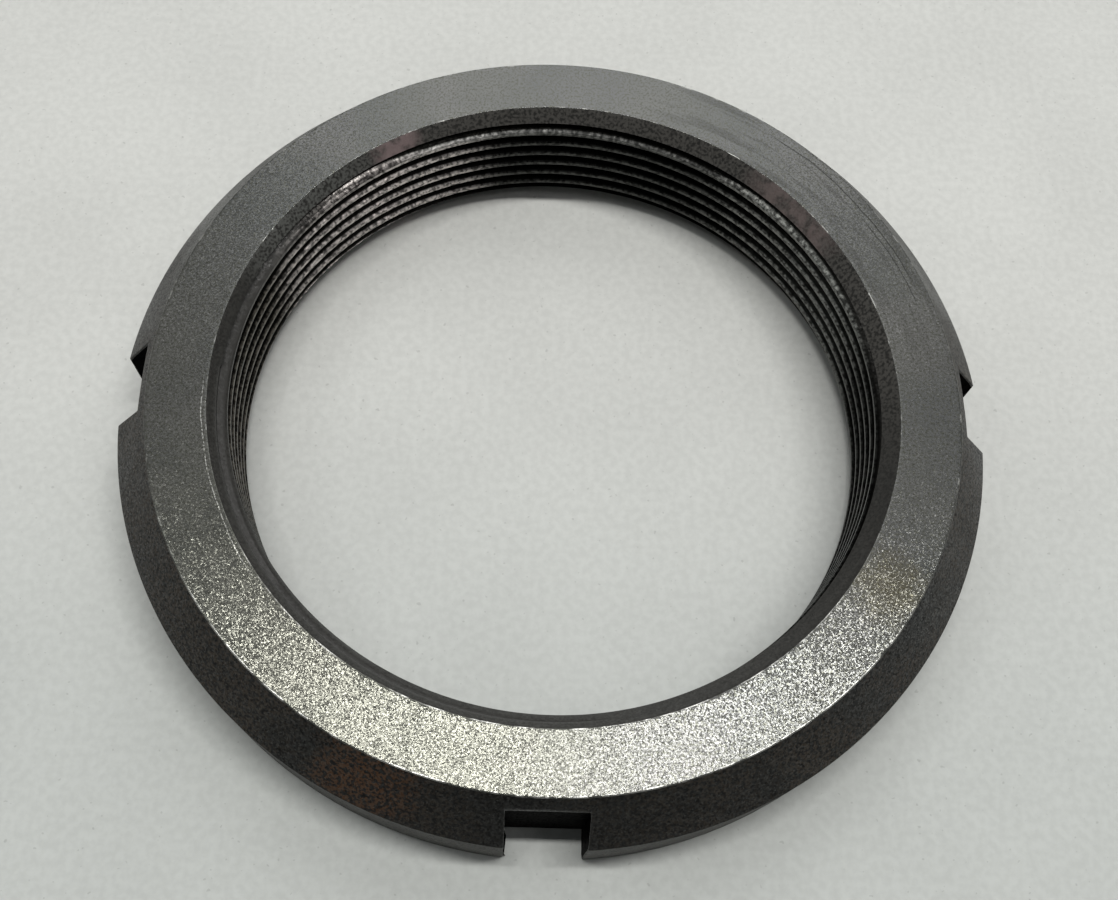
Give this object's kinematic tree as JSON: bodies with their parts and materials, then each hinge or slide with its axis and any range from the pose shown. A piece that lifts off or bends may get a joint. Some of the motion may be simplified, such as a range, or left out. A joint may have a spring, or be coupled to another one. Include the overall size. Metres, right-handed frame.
{
  "type": "slotted lock nut",
  "caption": "Round slotted lock nut with a fine internal thread and a wide cone on its front rim, for clamping a bearing or collar on a shaft.",
  "frame": {"origin": "centre of the flat rear face, on the thread's axis", "axes": "+Z along the thread's axis, out of the front face with the cone; the spanner slots lie on +X, -X, +Y and -Y"},
  "size_m": [0.1052, 0.1052, 0.0165],
  "materials": {
    "steel": "ground front face, dark oiled black-oxide cone, rim and bore"
  },
  "bodies": {
    "root": {"lock_nut": "steel"}
  },
  "joints": []
}
